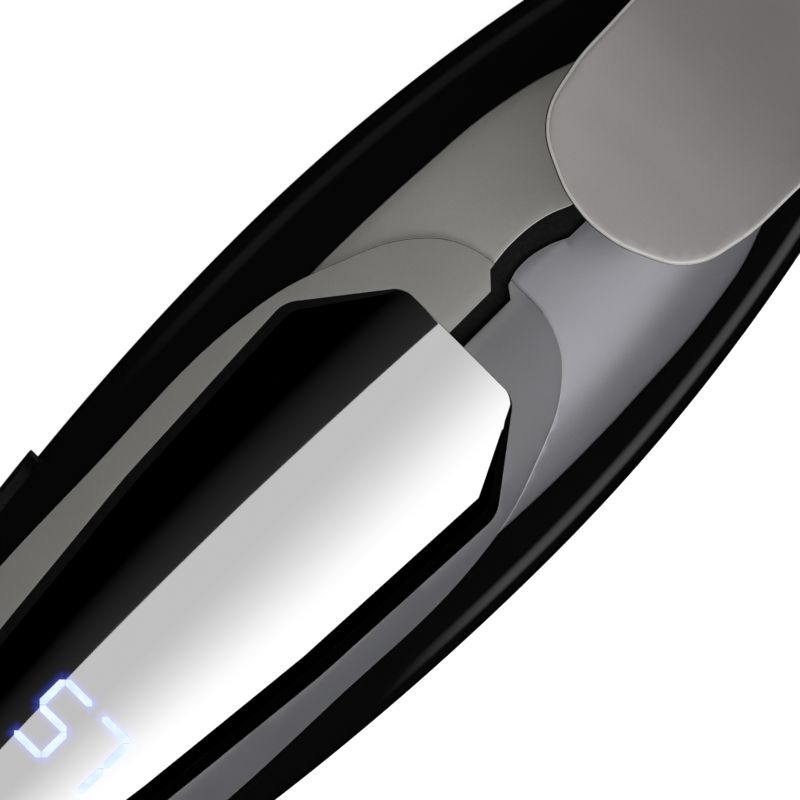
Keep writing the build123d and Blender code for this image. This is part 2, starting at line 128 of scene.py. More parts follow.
def selectEdges(piece, wanted):
    pick(piece)
    bpy.ops.object.mode_set(mode="EDIT")
    bpy.ops.mesh.select_mode(type="EDGE")
    bpy.ops.mesh.select_all(action="DESELECT")
    mesh = bmesh.from_edit_mesh(piece.data)
    for edge in mesh.edges:
        if wanted(edge):
            edge.select = True
    mesh.select_flush_mode()
    bmesh.update_edit_mesh(piece.data)


def modify(piece, kind, **settings):
    pick(piece)
    modifier = piece.modifiers.new(kind.title(), kind)
    for key, value in settings.items():
        setattr(modifier, key, value)
    bpy.ops.object.modifier_apply(modifier=modifier.name)


def remove(*pieces):
    for piece in pieces:
        bpy.data.objects.remove(piece, do_unlink=True)


def cut(piece, *cutters, operation="DIFFERENCE"):
    for cutter in cutters:
        modify(piece, "BOOLEAN", object=cutter, operation=operation, solver="EXACT")


def smooth(piece, angle=32):
    pick(piece)
    bpy.ops.object.shade_smooth_by_angle(angle=math.radians(angle))


def applyPlace(piece):
    pick(piece)
    bpy.ops.object.transform_apply(location=True, rotation=True, scale=True)


def outlineSlab(name, points, thickness, cornerSet=()):
    # a flat plate whose outline runs smoothly through points (mm), top at z = 0; corners stay sharp
    deselectAll()
    bpy.ops.curve.primitive_bezier_curve_add(location=(0, 0, 0))
    plate = bpy.context.object
    plate.name = name
    plate.data.dimensions = "2D"
    plate.data.resolution_u = 10
    spline = plate.data.splines[0]
    spline.bezier_points.add(len(points) - 2)
    spline.use_cyclic_u = True
    for index, (x, y) in enumerate(points):
        knot = spline.bezier_points[index]
        knot.co = (x * mm, y * mm, 0)
        kind = "VECTOR" if index in cornerSet else "AUTO"
        knot.handle_left_type = knot.handle_right_type = kind
    plate.data.fill_mode = "NONE"
    pick(plate)
    bpy.ops.object.convert(target="MESH")
    plate = bpy.context.object
    pick(plate)
    bpy.ops.object.mode_set(mode="EDIT")
    bpy.ops.mesh.select_all(action="SELECT")
    bpy.ops.mesh.remove_doubles(threshold=0.02 * mm)
    bpy.ops.mesh.edge_face_add()
    bpy.ops.mesh.extrude_region_move(TRANSFORM_OT_translate={"value": (0, 0, -thickness * mm)})
    bpy.ops.mesh.select_all(action="SELECT")
    bpy.ops.mesh.normals_make_consistent(inside=False)
    bpy.ops.object.mode_set(mode="OBJECT")
    return plate


def bevelRim(piece, width, segments=3):
    # rounds the edges round the flat top of a plate
    def onRim(edge):
        if len(edge.link_faces) != 2 or any(abs(v.co.z) > 1e-6 for v in edge.verts):
            return False
        return edge.calc_face_angle(0) > 1.2
    selectEdges(piece, onRim)
    bpy.ops.mesh.bevel(offset=width * mm, segments=segments, affect="EDGES", clamp_overlap=True)
    bpy.ops.object.mode_set(mode="OBJECT")


def gridCuts(piece, step):
    # straight cuts across a plate, so that it can follow a curved surface
    low = [min(v.co[axis] for v in piece.data.vertices) for axis in (0, 1)]
    high = [max(v.co[axis] for v in piece.data.vertices) for axis in (0, 1)]
    pick(piece)
    bpy.ops.object.mode_set(mode="EDIT")
    for axis in (0, 1):
        count = int((high[axis] - low[axis]) / (step * mm))
        normal = (1, 0, 0) if axis == 0 else (0, 1, 0)
        for index in range(1, count + 1):
            place = [0.0, 0.0, 0.0]
            place[axis] = low[axis] + (high[axis] - low[axis]) * index / (count + 1)
            bpy.ops.mesh.select_all(action="SELECT")
            bpy.ops.mesh.bisect(plane_co=place, plane_no=normal, threshold=1e-7)
    bpy.ops.object.mode_set(mode="OBJECT")


def drape(piece, inset):
    # lays a plate's z = 0 plane on the handle's form and moves it into the frame
    for vertex in piece.data.vertices:
        x, y, z = [value / mm for value in vertex.co]
        vertex.co = toFrame(x, y, z + skinHeight(x, y, inset))
    piece.data.update()


def rolledSkin(name, inset, stations=110, around=120):
    # the handle's form as a tube, from a flat grid rolled round the axis
    deselectAll()
    bpy.ops.mesh.primitive_grid_add(x_subdivisions=stations, y_subdivisions=around, size=2)
    piece = bpy.context.object
    piece.name = name
    tail, neck = -tailReach, neckReach
    for vertex in piece.data.vertices:
        x = tail + (neck - tail) * (vertex.co.x + 1) / 2
        angle = (vertex.co.y + 1) * math.pi
        wide, high, power = skinSize(x, inset)
        y = math.copysign(abs(math.cos(angle)) ** (2 / power), math.cos(angle)) * wide
        z = math.copysign(abs(math.sin(angle)) ** (2 / power), math.sin(angle)) * high
        vertex.co = toFrame(x, y, z)
    pick(piece)
    bpy.ops.object.mode_set(mode="EDIT")
    bpy.ops.mesh.select_all(action="SELECT")
    bpy.ops.mesh.remove_doubles(threshold=0.001 * mm)
    bpy.ops.mesh.normals_make_consistent(inside=False)
    bpy.ops.object.mode_set(mode="OBJECT")
    return piece


def cleanCopy(node, bevel):
    # a merged copy of a CAD node, its edges softened by bevel mm
    source = frame["nodes"][node]
    piece = source.copy()
    piece.data = source.data.copy()
    piece.name = node + "_piece"
    piece.parent = None
    bpy.context.scene.collection.objects.link(piece)
    piece.data.materials.clear()
    pick(piece)
    if piece.data.has_custom_normals:
        bpy.ops.mesh.customdata_custom_splitnormals_clear()
    bpy.ops.object.mode_set(mode="EDIT")
    bpy.ops.mesh.select_all(action="SELECT")
    bpy.ops.mesh.remove_doubles(threshold=0.002 * mm)
    bpy.ops.mesh.dissolve_limited(angle_limit=math.radians(0.4))
    bpy.ops.object.mode_set(mode="OBJECT")
    modify(piece, "BEVEL", width=bevel * mm, segments=2, limit_method="ANGLE",
           angle_limit=math.radians(38), use_clamp_overlap=True, harden_normals=False)
    smooth(piece, 30)
    return piece


print("helpers ready")

# Outlines on the front of the handle, in mm from the widest station, +Y half first

outline = {
    "window": [(7.2, 6.8), (-1.2, 13.3), (-22, 12.3), (-40, 10.5), (-56, 8.4), (-61, 5.4)],
    "bezel": [(14.3, 0), (13.8, 5.2), (11.2, 8.9), (4.4, 12.5), (-3.4, 14.7), (-24, 14.8), (-42, 13.9),
              (-58, 11.4), (-64.2, 6.8), (-65.5, 0)],
    "inlayKeySide": [(-6, 13.2), (5, 13.4), (16, 13.0), (24.5, 12.2), (32, 10.2), (41, 5.6), (45, 0)],
    "inlayFarSide": [(41, 7.2), (32, 12.5), (24.5, 14.1), (16, 14.7), (5, 14.9), (-6, 14.4)],
    "slotKeySide": [(6, 1.2), (12.4, 1.2), (13.7, 2.6), (17, 2.85), (20.5, 2.4), (22.8, 1.5), (47, 1.1)],
    "slotFarSide": [(6, -0.6), (13.1, -0.6), (13.9, 0.5), (15.8, 0.9), (18.6, 0.5), (20.7, -0.4), (47, -0.5)],
    "gap": 0.05,
}


def grown(points, grow):
    # the outline moved outwards from its middle by about grow
    low, high = min(p[0] for p in points), max(p[0] for p in points)
    widest = max(p[1] for p in points)
    middle, reach = (low + high) / 2, (high - low) / 2
    return [(x + grow * (x - middle) / reach, y + grow * y / widest) for x, y in points]


def bothSides(points):
    # the other half of a symmetric outline, without repeating points on the middle line
    return points + [(x, -y) for x, y in reversed(points) if y > 0]


def windowPlate(name, thickness, grow=0.0):
    points = bothSides(grown(outline["window"], grow))
    plate = outlineSlab(name, points, thickness, range(len(points)))
    selectEdges(plate, lambda edge: abs(edge.verts[0].co.z - edge.verts[1].co.z) > 0.5 * thickness * mm)
    bpy.ops.mesh.bevel(offset=1.0 * mm, segments=6, affect="EDGES")
    bpy.ops.object.mode_set(mode="OBJECT")
    return plate


def bezelPlate(name, thickness, grow=0.0):
    return outlineSlab(name, bothSides(grown(outline["bezel"], grow)), thickness)


def inlayPlate(name, thickness, grow=0.0):
    points = grown(outline["inlayKeySide"], grow)
    points += [(x, -y) for x, y in grown(outline["inlayFarSide"], grow)]
    return outlineSlab(name, points, thickness, (0, len(points) - 1))


def slotPlate(name, thickness):
    # the slot jogs sideways where it leaves the bezel's crown
    points = outline["slotKeySide"] + outline["slotFarSide"][::-1]
    return outlineSlab(name, points, thickness, (0, 1, 2, 5, 6, 7, 8, 11, 12, 13))


def lift(piece, height):
    for vertex in piece.data.vertices:
        vertex.co.z += height * mm


def markRim(piece, isLight=None):
    # the rounded rim takes the piece's second material, a painted highlight; the upright sides take its
    # third, a near-black painted shade, unless isLight gives them the painted highlight
    for face in piece.data.polygons:
        if abs(face.normal.z) < 0.3:
            face.material_index = 1 if isLight and isLight(face.center / mm, face.normal) else 2
        elif 0.3 < face.normal.z < 0.97:
            face.material_index = 1


def finishPlate(piece, rim, step, inset, isLight=None):
    bevelRim(piece, rim)
    gridCuts(piece, step)
    markRim(piece, isLight)
    drape(piece, inset)
    smooth(piece, 35)


front = {
    "floor": 1.5,          # depth of the pocket under the inlay
    "inlaySink": 0.35,
    "bezelRise": 0.45,
    "glassSink": 0.1,
    "inlayRim": 0.14,
    "bezelRim": 0.3,
    "glassRim": 0.15,
    "glassCorner": 0.7,
    "glassEdge": 2.3,      # width of the bevel along the glass's long sides
    "glassSlope": 0.2,
    "shadeSheetSink": 1.0,      # the black sheet that stands for the shade in the slot lies this deep
    "slotReach": 3.5,      # the upright sides this near the middle line are the slot's, and take the near-black painted shade
    "glassMiddle": -27.0,
    "plateStep": 1.2,      # spacing of the straight cuts in a plate
    "cutterHeight": 6.0,
}


def makeInlay():
    tall = front["cutterHeight"]
    plate = inlayPlate("inlay", front["floor"] - front["inlaySink"])
    hole = bezelPlate("inlayHole", tall, outline["gap"])
    slot = slotPlate("inlaySlot", tall)
    lift(hole, tall / 2)
    lift(slot, tall / 2)
    cut(plate, hole, slot)
    remove(hole, slot)
    pick(plate)
    bpy.ops.object.mode_set(mode="EDIT")
    bpy.ops.mesh.separate(type="LOOSE")
    bpy.ops.object.mode_set(mode="OBJECT")
    parts = sorted(bpy.context.selected_objects, key=lambda o: len(o.data.vertices))
    scraps, halves = parts[:-2], parts[-2:]
    remove(*scraps)
    halves.sort(key=lambda o: sum(v.co.y for v in o.data.vertices) / len(o.data.vertices))
    for half, name in zip(halves, ("inlayRight", "inlayLeft")):
        half.name = name
        # upright sides away from the slot take the painted highlight, the slot's the near-black painted shade
        finishPlate(half, front["inlayRim"], front["plateStep"], front["inlaySink"],
                    lambda middle, normal: abs(middle.y) > front["slotReach"])
    return halves


def makeBezel():
    tall = front["cutterHeight"]
    plate = bezelPlate("displayBezel", front["floor"] + front["bezelRise"])
    hole = windowPlate("bezelHole", tall, outline["gap"])
    slot = slotPlate("bezelSlot", tall)
    lift(hole, tall / 2)
    lift(slot, tall / 2)
    cut(plate, hole, slot)
    remove(hole, slot)

    # outward upright sides away from the slot take the painted highlight, the rest the near-black painted
    # shade
    def facesOut(middle, normal):
        outward = (middle.x - front["glassMiddle"]) * normal.x + middle.y * normal.y
        return abs(middle.y) > front["slotReach"] and outward > 0

    finishPlate(plate, front["bezelRim"], front["plateStep"], -front["bezelRise"], facesOut)
    return plate


def edgeAt(x, corners):
    # half width at x of an outline given by its corners, from the barrel end to the tail
    for (x1, y1), (x0, y0) in zip(corners, corners[1:]):
        if x0 <= x <= x1:
            return y0 + (y1 - y0) * (x - x0) / (x1 - x0)
    return corners[0][1] if x > corners[0][0] else corners[-1][1]


def glassStations(corners, step):
    # places along X, with one at every corner and closer ones at both ends
    stations = []
    for (x1, _), (x0, _) in zip(corners, corners[1:]):
        count = math.ceil((x1 - x0) / step)
        stations += [x1 - (x1 - x0) * index / count for index in range(count)]
    ends = [corners[0][0] - inward for inward in (0.06, 0.15, 0.3, 0.5)]
    ends += [corners[-1][0] + inward for inward in (0.0, 0.06, 0.15, 0.3, 0.5)]
    return sorted(stations + ends)


def roundedBy(x, corners):
    # how much the rounding of the end corners takes off the half width at x
    radius = front["glassCorner"]
    reach = max(corners[-1][0] + radius - x, x - corners[0][0] + radius, 0.0) / radius
    return radius * (1 - math.sqrt(max(0.0, 1 - min(1.0, reach) ** 2)))


def makeWindow():
    # a grid whose lines follow the glass's outline and the inner line of its bevelled sides
    corners = outline["window"]
    inner = [(x, y - (front["glassEdge"] if index else 0)) for index, (x, y) in enumerate(corners)]
    stations = glassStations(corners, 1.0)
    deselectAll()
    bpy.ops.mesh.primitive_grid_add(x_subdivisions=len(stations) - 1, y_subdivisions=32, size=2)
    plate = bpy.context.object
    plate.name = "displayWindow"
    columns = sorted({round(v.co.x, 5) for v in plate.data.vertices})
    flatShare = 0.75
    for vertex in plate.data.vertices:
        index = columns.index(round(vertex.co.x, 5))
        x = stations[min(len(stations) - 1, index)]
        outer = edgeAt(x, corners) - roundedBy(x, corners)
        flat = min(edgeAt(x, inner), outer)
        share = abs(vertex.co.y)
        if share <= flatShare:
            y = flat * share / flatShare
        else:
            y = flat + (outer - flat) * (share - flatShare) / (1 - flatShare)
        vertex.co = (x * mm, math.copysign(y, vertex.co.y) * mm, 0)
    pick(plate)
    bpy.ops.object.mode_set(mode="EDIT")
    bpy.ops.mesh.select_all(action="SELECT")
    bpy.ops.mesh.extrude_region_move(
        TRANSFORM_OT_translate={"value": (0, 0, -(front["floor"] - front["glassSink"]) * mm)})
    bpy.ops.mesh.select_all(action="SELECT")
    bpy.ops.mesh.normals_make_consistent(inside=False)
    bpy.ops.object.mode_set(mode="OBJECT")
    bevelRim(plate, front["glassRim"])
    for vertex in plate.data.vertices:
        beyond = abs(vertex.co.y) / mm - edgeAt(vertex.co.x / mm, inner)
        if vertex.co.z > -0.5 * front["floor"] * mm:
            vertex.co.z -= max(0.0, beyond) * front["glassSlope"] * mm
    drape(plate, front["glassSink"])
    smooth(plate, 7)
    return plate


def makeSlotShadeSheet():
    # a black sheet between the two halves of the inlay: painted shade in the slot
    plate = slotPlate("slotShadeSheet", 0.3)
    gridCuts(plate, 1.5)
    drape(plate, front["shadeSheetSink"])
    smooth(plate, 35)
    return plate


def pocketCutter():
    # the inlay's and bezel's pocket as one block whose floor follows the handle's form
    tall = 8.0
    cutter = bezelPlate("pocket", tall, outline["gap"] * 2)
    other = inlayPlate("pocketInlay", tall, outline["gap"] * 2)
    cut(cutter, other, operation="UNION")
    remove(other)
    lift(cutter, tall)
    gridCuts(cutter, 1.6)
    drape(cutter, front["floor"])
    return cutter


def stadium(name, xSpan, height, zMiddle, ySpan):
    # a round-ended bar along Y, in mm
    deselectAll()
    size = (xSpan[1] - xSpan[0], ySpan[1] - ySpan[0], height)
    bpy.ops.mesh.primitive_cube_add(size=1)
    bar = bpy.context.object
    bar.name = name
    bar.scale = [value * mm for value in size]
    applyPlace(bar)
    selectEdges(bar, lambda edge: abs(edge.verts[0].co.y - edge.verts[1].co.y) > 0.5 * mm)
    bpy.ops.mesh.bevel(offset=height / 2 * mm * 0.999, segments=14, affect="EDGES")
    bpy.ops.object.mode_set(mode="OBJECT")
    middle = toFrame((xSpan[0] + xSpan[1]) / 2, (ySpan[0] + ySpan[1]) / 2, zMiddle)
    for vertex in bar.data.vertices:
        vertex.co += middle
    return bar


keys = {
    "height": 4.4,
    "middleZ": 2.2,
    "gap": 0.25,
    "holeY": (5, 26),
    "power_key": (-38.5, -26.5),
    "heat_up_key": (-51.0, -43.0),
    "heat_down_key": (-63.0, -55.0),
}


def shellHalf(name, upper):
    # one half of the handle's skin, given its wall
    shell = rolledSkin(name, 0.0)
    groove = 0.06 * mm
    pick(shell)
    bpy.ops.object.mode_set(mode="EDIT")
    bpy.ops.mesh.select_all(action="SELECT")
    place = (0, 0, form["splitZ"] + (groove if upper else -groove))
    bpy.ops.mesh.bisect(plane_co=place, plane_no=(0, 0, 1), clear_inner=upper, clear_outer=not upper)
    bpy.ops.object.mode_set(mode="OBJECT")
    modify(shell, "SOLIDIFY", thickness=form["wall"] * mm, offset=-1, use_even_offset=True)

    def lipWidth(x):
        return skinSize((x - form["wideX"]) / mm, 0.6)[0]

    def onLip(edge):
        flat = all(abs(v.co.z - place[2]) < 0.02 * mm for v in edge.verts)
        return flat and all(abs(v.co.y) > 0.97 * mm * lipWidth(v.co.x) for v in edge.verts)
    selectEdges(shell, onLip)
    bpy.ops.mesh.bevel(offset=0.16 * mm, segments=2, affect="EDGES", clamp_overlap=True)
    bpy.ops.object.mode_set(mode="OBJECT")
    return shell


def makeFrontShell():
    shell = shellHalf("frontShell", True)
    pocket = pocketCutter()
    cut(shell, pocket)
    remove(pocket)
    gap = keys["gap"]
    for key in ("power_key", "heat_up_key", "heat_down_key"):
        start, end = keys[key]
        hole = stadium("keyHole", (start - gap, end + gap), keys["height"] + 2 * gap,
                       keys["middleZ"], keys["holeY"])
        cut(shell, hole)
        remove(hole)
    smooth(shell, 35)
    return shell


rear = {
    "screwHoles": (-56.0, -8.0, 38.0),    # stations, mm from the widest one
    "holeRadius": 3.1,
    "holeDepth": 16,
    "holeZ": -14,
}


def makeRearShell():
    shell = shellHalf("rearShell", False)
    deselectAll()
    bpy.ops.mesh.primitive_cube_add(size=1)   # planes off the flat that the iron rests on
    plane = bpy.context.object
    plane.scale = (0.16, 0.06, 0.01)
    plane.location = (form["wideX"], 0, -0.005)
    applyPlace(plane)
    cut(shell, plane)
    remove(plane)
    for place in rear["screwHoles"]:
        deselectAll()
        bpy.ops.mesh.primitive_cylinder_add(
            vertices=48, radius=rear["holeRadius"] * mm, depth=rear["holeDepth"] * mm)
        hole = bpy.context.object
        hole.location = toFrame(place, 0, rear["holeZ"])
        applyPlace(hole)
        cut(shell, hole)
        remove(hole)
    smooth(shell, 35)
    return shell


frontShell = makeFrontShell()
rearShell = makeRearShell()
print("shells ready")
inlayRight, inlayLeft = makeInlay()
displayBezel = makeBezel()
displayWindow = makeWindow()
slotShadeSheet = makeSlotShadeSheet()
print("front ready")

# Thumb pad: a rounded plate laid on the lever's curve

pad = {
    "tipX": 22.4,
    "endX": 50.6,
    "halfWidth": 11.0,
    "thickness": 1.7,
    "rim": 0.45,
    "step": 0.9,
    "dish": 0.35,         # how far the middle sinks for the thumb, in mm
    "sideView": [(21.4, 31.5), (38, 28.4), (50.6, 22.3), (60, 18.3)],
    "startSlope": -0.1,
    "endSlope": -0.4,
}


def leverHeight(x):
    # height of the lever's top above the axis: cubic spans through the side view's points
    points = pad["sideView"]
    slopes = [pad["startSlope"]]
    for before, after in zip(points, points[2:]):
        slopes.append((after[1] - before[1]) / (after[0] - before[0]))
    slopes.append(pad["endSlope"])
    for (x0, z0), (x1, z1), s0, s1 in zip(points, points[1:], slopes, slopes[1:]):
        if x <= x1 or x1 == points[-1][0]:
            t = (x - x0) / (x1 - x0)
            h = x1 - x0
            return (z0 * (2 * t ** 3 - 3 * t ** 2 + 1) + s0 * h * (t ** 3 - 2 * t ** 2 + t)
                    + z1 * (3 * t ** 2 - 2 * t ** 3) + s1 * h * (t ** 3 - t ** 2))


def makeThumbPad():
    tip, end, half = pad["tipX"], pad["endX"], pad["halfWidth"]
    side = [(end, half), (tip + 14, half - 0.15), (tip + 7.8, half - 0.6), (tip + 3.5, half - 2.2)]
    side += [(tip + 1, half - 6.0), (tip, half - 9.4)]
    points = side + [(x, -y) for x, y in reversed(side)]
    plate = outlineSlab("thumbPad", points, pad["thickness"], (0, len(points) - 1))
    bevelRim(plate, pad["rim"], 4)
    gridCuts(plate, pad["step"])
    markRim(plate)
    for vertex in plate.data.vertices:
        x, y, z = [value / mm for value in vertex.co]
        dish = pad["dish"] * max(0.0, 1 - (y / half) ** 2) * min(1.0, max(0.0, (x - tip) / 8))
        vertex.co = toFrame(x, y, z + leverHeight(x) - dish)
    smooth(plate, 35)
    return plate


thumbPad = makeThumbPad()

# Lit digits: seven-segment bars whose tops point towards the barrel

digits = {
    "middleX": -41.5,
    "height": 7.1,
    "width": 4.1,
    "stroke": 0.7,
    "gap": 0.03,
    "lit": {1.75: "afgcd", -2.85: "abc"},    # a five and a seven, by the Y of their middles
    "lift": 0.07,
    "haloReach": 0.85,
    "haloStrength": 0.36,
}


def digitBars():
    # the middles (x, y) and half sizes of every lit bar, in mm
    reach = (digits["height"] - digits["stroke"]) / 2
    side = (digits["width"] - digits["stroke"]) / 2
    bars = []
    for y, letters in digits["lit"].items():
        across = {"a": reach, "g": 0.0, "d": -reach}
        along = {"b": (reach / 2, -side), "c": (-reach / 2, -side), "f": (reach / 2, side)}
        for letter in letters:
            if letter in across:
                x = digits["middleX"] + across[letter]
                bars.append((x, y, digits["stroke"] / 2, side - digits["gap"]))
            else:
                dx, dy = along[letter]
                x = digits["middleX"] + dx
                bars.append((x, y + dy, reach / 2 - digits["gap"], digits["stroke"] / 2))
    return bars


def makeDigits():
    plates = []
    for x, y, halfX, halfY in digitBars():
        point = min(halfX, halfY)
        if halfX > halfY:
            corners = [(halfX, 0), (halfX - point, halfY), (point - halfX, halfY), (-halfX, 0)]
            corners += [(point - halfX, -halfY), (halfX - point, -halfY)]
        else:
            corners = [(0, halfY), (-halfX, halfY - point), (-halfX, point - halfY), (0, -halfY)]
            corners += [(halfX, point - halfY), (halfX, halfY - point)]
        plate = outlineSlab("bar", [(x + dx, y + dy) for dx, dy in corners], 0.05, range(6))
        gridCuts(plate, 0.5)
        plates.append(plate)
    deselectAll()
    for plate in plates:
        plate.select_set(True)
    bpy.context.view_layer.objects.active = plates[0]
    bpy.ops.object.join()
    plate = plates[0]
    plate.name = "litDigits"
    drape(plate, front["glassSink"] - digits["lift"])
    return plate


litDigits = makeDigits()

# The other pieces keep the CAD's shapes, with softened edges

softened = {
    "power_key": 0.35, "heat_up_key": 0.35, "heat_down_key": 0.35, "lever_arm": 0.35, "barrel_collar": 0.2,
    "cool_tip": 0.4, "clamp_blade": 0.15, "hinge_bracket": 0.15, "swivel_gland": 0.25, "barrel_tube": 0.1,
}
copies = {node: cleanCopy(node, width) for node, width in softened.items()}
print("copies ready")


# Materials


def linear(hexColor):
    # sRGB hex to linear RGBA
    values = [int(hexColor[i:i + 2], 16) / 255 for i in (1, 3, 5)]
    return [v / 12.92 if v <= 0.04045 else ((v + 0.055) / 1.055) ** 2.4 for v in values] + [1.0]


def addNode(tree, kind, settings=None, inputs=None):
    # settings are the node's own choices; inputs are values or (node, output) links
    node = tree.nodes.new(kind)
    for key, value in (settings or {}).items():
        setattr(node, key, value)
    for key, value in (inputs or {}).items():
        if isinstance(value, tuple) and hasattr(value[0], "outputs"):
            tree.links.new(value[0].outputs[value[1]], node.inputs[key])
        else:
            node.inputs[key].default_value = value
    return node


def ramp(tree, source, stops):
    # stops are (place, colour) pairs, colour as hex or as a number
    node = addNode(tree, "ShaderNodeValToRGB", None, {"Fac": source})
    elements = node.color_ramp.elements
    while len(elements) < len(stops):
        elements.new(0.5)
    for element, (place, colour) in zip(elements, stops):
        element.position = place
        element.color = linear(colour) if isinstance(colour, str) else (colour, colour, colour, 1)
    return node


def surface(name, baseHex, metallic, roughness, ior=1.5):
    material = bpy.data.materials.new(name)
    material.use_nodes = True
    tree = material.node_tree
    shader = tree.nodes["Principled BSDF"]
    shader.inputs["Base Color"].default_value = linear(baseHex)
    shader.inputs["Metallic"].default_value = metallic
    shader.inputs["Roughness"].default_value = roughness
    shader.inputs["IOR"].default_value = ior
    place = addNode(tree, "ShaderNodeTexCoord")
    return material, tree, shader, (place, "Object")


def grain(tree, place, size, detail=3.0):
    # noise whose features are about size mm across
    return addNode(tree, "ShaderNodeTexNoise", None, {
        "Vector": place, "Scale": 1 / (size * mm), "Detail": detail})


def colourGrain(tree, shader, source, darkHex, lightHex):
    # two close tones, mixed by the noise
    mix = ramp(tree, source, [(0.3, darkHex), (0.7, lightHex)])
    tree.links.new(mix.outputs["Color"], shader.inputs["Base Color"])


def roughGrain(tree, shader, source, low, high):
    spread = addNode(tree, "ShaderNodeMapRange", None, {
        "Value": source, "From Min": 0.3, "From Max": 0.7, "To Min": low, "To Max": high})
    tree.links.new(spread.outputs["Result"], shader.inputs["Roughness"])


def bump(tree, shader, source, height):
    # height in mm
    node = addNode(tree, "ShaderNodeBump", None, {
        "Height": source, "Distance": height * mm, "Strength": 1.0})
    tree.links.new(node.outputs["Normal"], shader.inputs["Normal"])


def makePianoBlack():
    # ABS moulded in a polished tool: deep black, mirror gloss, faint waviness and handling haze
    material, tree, shader, place = surface("ABS piano black", "#0B0B0B", 0.0, 0.04, 1.49)
    haze = grain(tree, place, 9.0)
    roughGrain(tree, shader, (haze, "Fac"), 0.035, 0.075)
    flow = grain(tree, place, 14.0, 1.0)
    bump(tree, shader, (flow, "Fac"), 0.012)
    return material


def makeSatinPaint(name, darkHex, lightHex, roughness, metallic=0.12, farShadeTint=None):
    # metallic paint sprayed on ABS: fine flake and a soft orange peel; an optional tint darkens and cools the
    # far side as painted cool shade
    material, tree, shader, place = surface(name, darkHex, metallic, roughness, 1.5)
    flake = grain(tree, place, 0.22, 2.0)   # real flake is finer; drawn as coarse as it can show
    cloud = grain(tree, place, 7.0, 2.0)
    both = addNode(tree, "ShaderNodeMath", {"operation": "ADD"}, {0: (flake, "Fac"), 1: (cloud, "Fac")})
    half = addNode(tree, "ShaderNodeMath", {"operation": "MULTIPLY"}, {0: (both, "Value"), 1: 0.5})
    tone = ramp(tree, (half, "Value"), [(0.3, darkHex), (0.7, lightHex)])
    tree.links.new(tone.outputs["Color"], shader.inputs["Base Color"])
    if farShadeTint:
        # painted shade: the far side (-Y) multiplied by a cool grey
        split = addNode(tree, "ShaderNodeSeparateXYZ", None, {"Vector": place})
        share = addNode(tree, "ShaderNodeMapRange", None, {
            "Value": (split, "Y"), "From Min": 2 * mm, "From Max": -2 * mm})
        tint = addNode(tree, "ShaderNodeMix", {"data_type": "RGBA", "blend_type": "MULTIPLY"},
                       {"Factor": (share, "Result"), 6: (tone, "Color"), 7: linear(farShadeTint)})
        tree.links.new(tint.outputs[2], shader.inputs["Base Color"])
    roughGrain(tree, shader, (flake, "Fac"), roughness - 0.03, roughness + 0.05)
    peel = grain(tree, place, 0.9, 2.0)
    bump(tree, shader, (peel, "Fac"), 0.006)
    return material


def makePaintedRimHighlight(name, lightHex):
    # the same paint on the rounded edges, a little brighter: a painted highlight along the rims
    material, tree, shader, place = surface(name, lightHex, 0.2, 0.3, 1.5)
    flake = grain(tree, place, 0.3, 2.0)
    roughGrain(tree, shader, (flake, "Fac"), 0.26, 0.36)
    return material


def maskBars(tree, place):
    # distance in metres from the nearest lit bar, worked out from the object's own coordinates
    nearest = None
    for x, y, halfX, halfY in digitBars():
        middle = toFrame(x, y, 0)
        flat = addNode(tree, "ShaderNodeVectorMath", {"operation": "MULTIPLY"}, {0: place, 1: (1, 1, 0)})
        local = addNode(tree, "ShaderNodeVectorMath", {"operation": "SUBTRACT"},
                        {0: (flat, "Vector"), 1: (middle.x, middle.y, 0)})
        away = addNode(tree, "ShaderNodeVectorMath", {"operation": "ABSOLUTE"}, {0: (local, "Vector")})
        over = addNode(tree, "ShaderNodeVectorMath", {"operation": "SUBTRACT"},
                       {0: (away, "Vector"), 1: (halfX * mm, halfY * mm, 0)})
        outside = addNode(tree, "ShaderNodeVectorMath", {"operation": "MAXIMUM"},
                          {0: (over, "Vector"), 1: (0, 0, 0)})
        length = addNode(tree, "ShaderNodeVectorMath", {"operation": "LENGTH"}, {0: (outside, "Vector")})
        if nearest is None:
            nearest = (length, "Value")
        else:
            least = addNode(tree, "ShaderNodeMath", {"operation": "MINIMUM"},
                            {0: nearest, 1: (length, "Value")})
            nearest = (least, "Value")
    return nearest


def makeMirrorAcrylic():
    # half-mirror film behind clear acrylic: black in itself, bright where it reflects, with the
    # digits' blue light scattered a little way around them
    material, tree, shader, place = surface("acrylic half mirror", "#AAAAAA", 1.0, 0.02, 1.5)
    haze = grain(tree, place, 12.0)
    roughGrain(tree, shader, (haze, "Fac"), 0.015, 0.03)
    reach = addNode(tree, "ShaderNodeMapRange", None, {
        "Value": maskBars(tree, place), "From Min": 0.0, "From Max": digits["haloReach"] * mm,
        "To Min": 1.0, "To Max": 0.0})
    glow = addNode(tree, "ShaderNodeMath", {"operation": "POWER"}, {0: (reach, "Result"), 1: 2.5})
    strength = addNode(tree, "ShaderNodeMath", {"operation": "MULTIPLY"},
                       {0: (glow, "Value"), 1: digits["haloStrength"]})
    shader.inputs["Emission Color"].default_value = linear("#4254F4")
    tree.links.new(strength.outputs["Value"], shader.inputs["Emission Strength"])
    return material


def makeLitSegments():
    # cold-white light-emitting segments behind a diffuser
    material, tree, shader, place = surface("LED cold white", "#101418", 0.0, 0.6)
    shader.inputs["Specular IOR Level"].default_value = 0.0
    glow = grain(tree, place, 0.8, 1.0)
    tone = ramp(tree, (glow, "Fac"), [(0.35, "#DDF0FF"), (0.65, "#EFFBFF")])
    tree.links.new(tone.outputs["Color"], shader.inputs["Emission Color"])
    shader.inputs["Emission Strength"].default_value = 1.0
    return material


